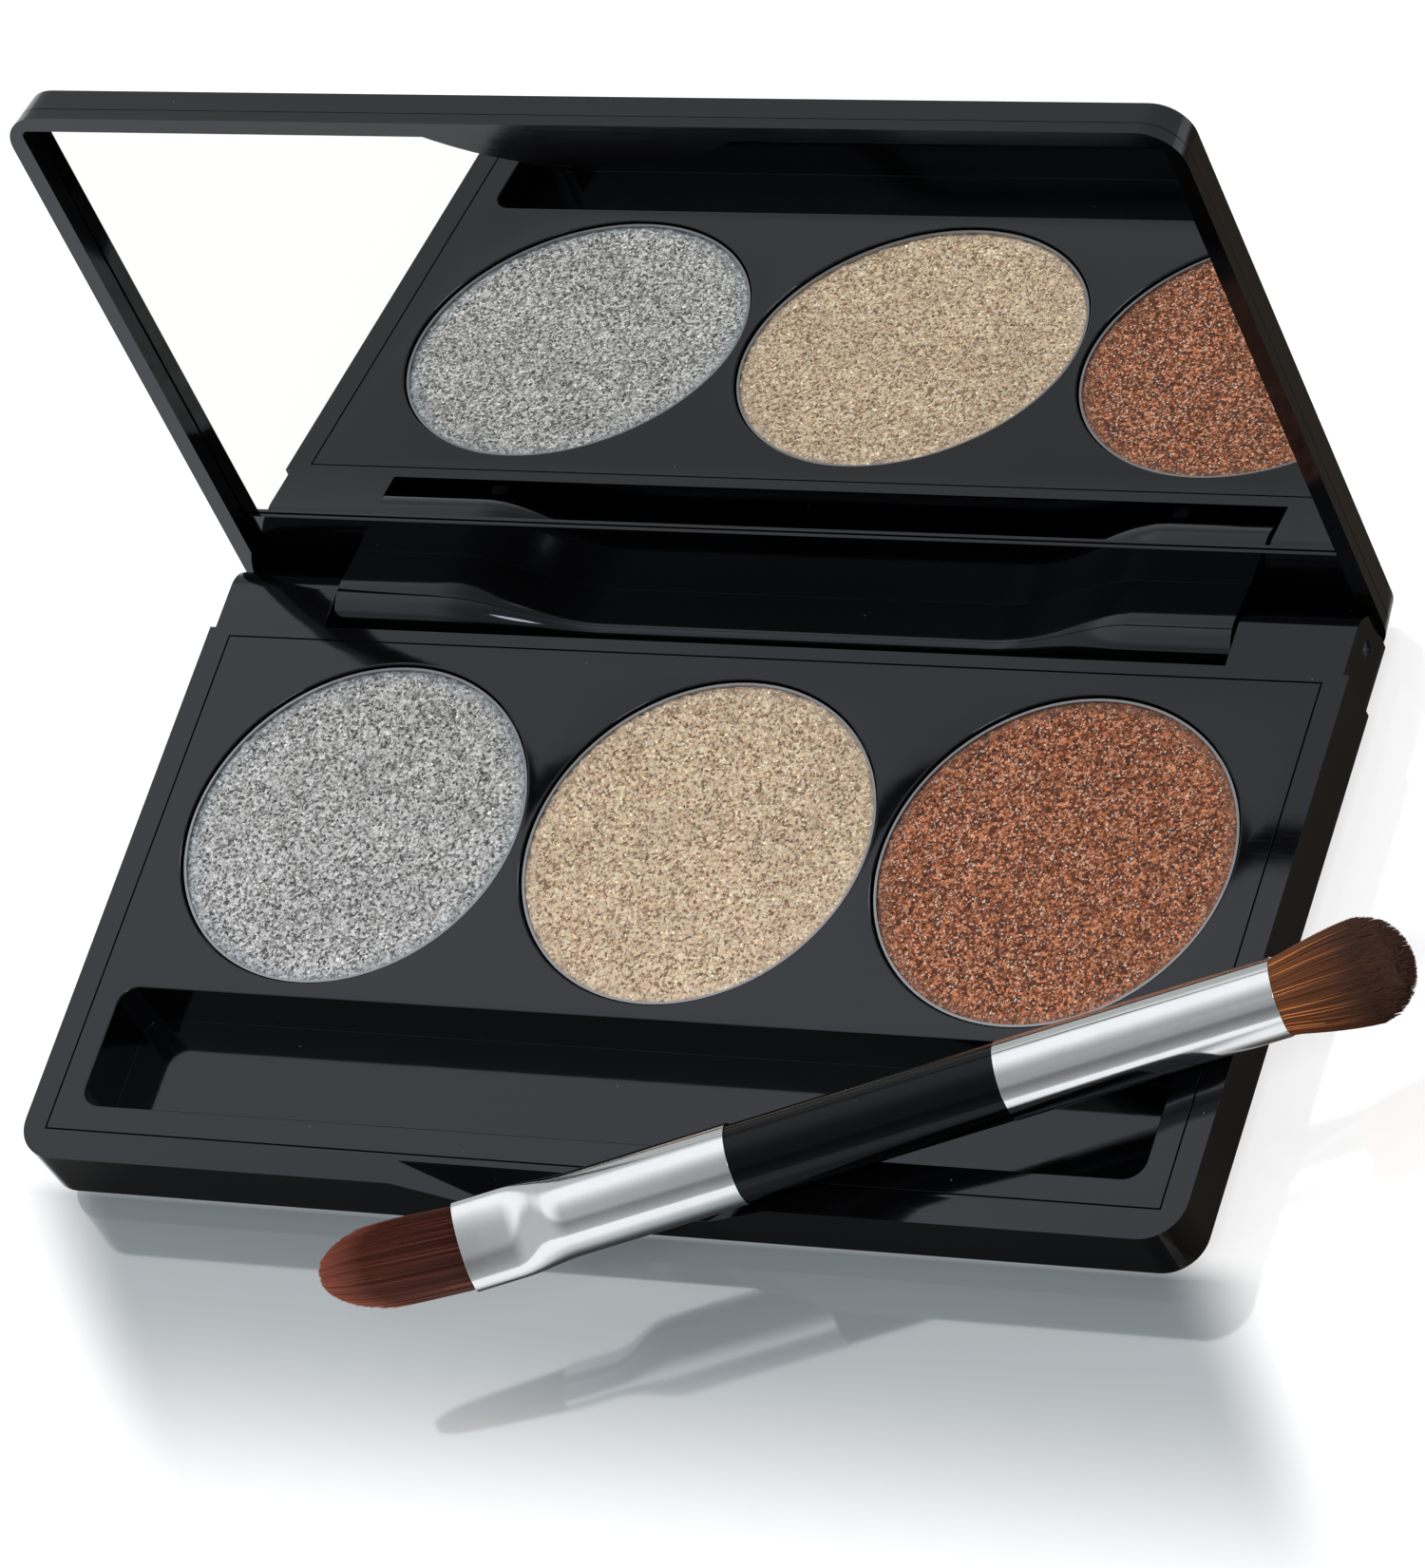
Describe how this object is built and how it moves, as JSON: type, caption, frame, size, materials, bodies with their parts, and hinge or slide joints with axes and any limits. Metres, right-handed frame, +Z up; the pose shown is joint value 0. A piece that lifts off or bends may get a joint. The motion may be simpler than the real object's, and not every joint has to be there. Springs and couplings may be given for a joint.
{
  "type": "eyeshadow palette",
  "caption": "Slim hinged makeup compact with a mirror lid, round eyeshadow pans, a brush well and a double-ended brush.",
  "frame": {"origin": "centre of the base's flat underside, on the surface that the palette stands on", "axes": "+X along the palette's width to the right, +Y from the front rim to the hinge, +Z up"},
  "size_m": [0.1008, 0.0701, 0.0511],
  "materials": {
    "casing_black": "moulded, high gloss black",
    "insert_black": "moulded, high gloss black",
    "frame_black": "moulded, high gloss black",
    "pin_steel": "drawn steel wire",
    "pan_aluminium": "pressed bright aluminium",
    "powder_silver": "pressed powder, silver grey with fine glitter",
    "powder_champagne": "pressed powder, champagne with fine glitter",
    "powder_bronze": "pressed powder, copper bronze with fine glitter",
    "pan_adhesive": "soft adhesive disc",
    "mirror_glass": "silvered glass",
    "foam_tape": "white double-sided foam tape",
    "handle_black": "black lacquer",
    "ferrule_metal": "bright silver plating",
    "synthetic_bristle": "fine synthetic filament, red brown with lighter tips",
    "natural_bristle": "soft natural hair, brown with orange strands",
    "resin": "set amber resin"
  },
  "bodies": {
    "base": {"base_shell": "casing_black", "insert_plate": "insert_black", "hinge_pin_left": "pin_steel", "hinge_pin_right": "pin_steel", "pan_silver": "pan_aluminium", "powder_silver": "powder_silver", "pan_glue_silver": "pan_adhesive", "pan_champagne": "pan_aluminium", "powder_champagne": "powder_champagne", "pan_glue_champagne": "pan_adhesive", "pan_bronze": "pan_aluminium", "powder_bronze": "powder_bronze", "pan_glue_bronze": "pan_adhesive"},
    "lid": {"lid_cover": "casing_black", "lid_frame": "frame_black", "mirror": "mirror_glass", "mirror_pad": "foam_tape"},
    "brush": {"brush_handle": "handle_black", "ferrule_flat": "ferrule_metal", "ferrule_round": "ferrule_metal", "flat_bristles": "synthetic_bristle", "round_bristles": "natural_bristle", "bristle_glue_flat": "resin", "bristle_glue_round": "resin"}
  },
  "joints": [
    {"name": "lid_hinge", "type": "hinge", "parent": "base", "child": "lid", "pos_m": [0, 0.0226, 0.0044], "axis": [1, 0, 0], "range_deg": [0, 97.3]},
    {"name": "brush_slide", "type": "slide", "parent": "base", "child": "brush", "axis": [0, -1, 0], "range_m": [0, 0.0302]}
  ],
  "couplings": [
    {"joint": "brush_slide", "follows": "lid_hinge", "m_per_rad": 0.017666}
  ]
}
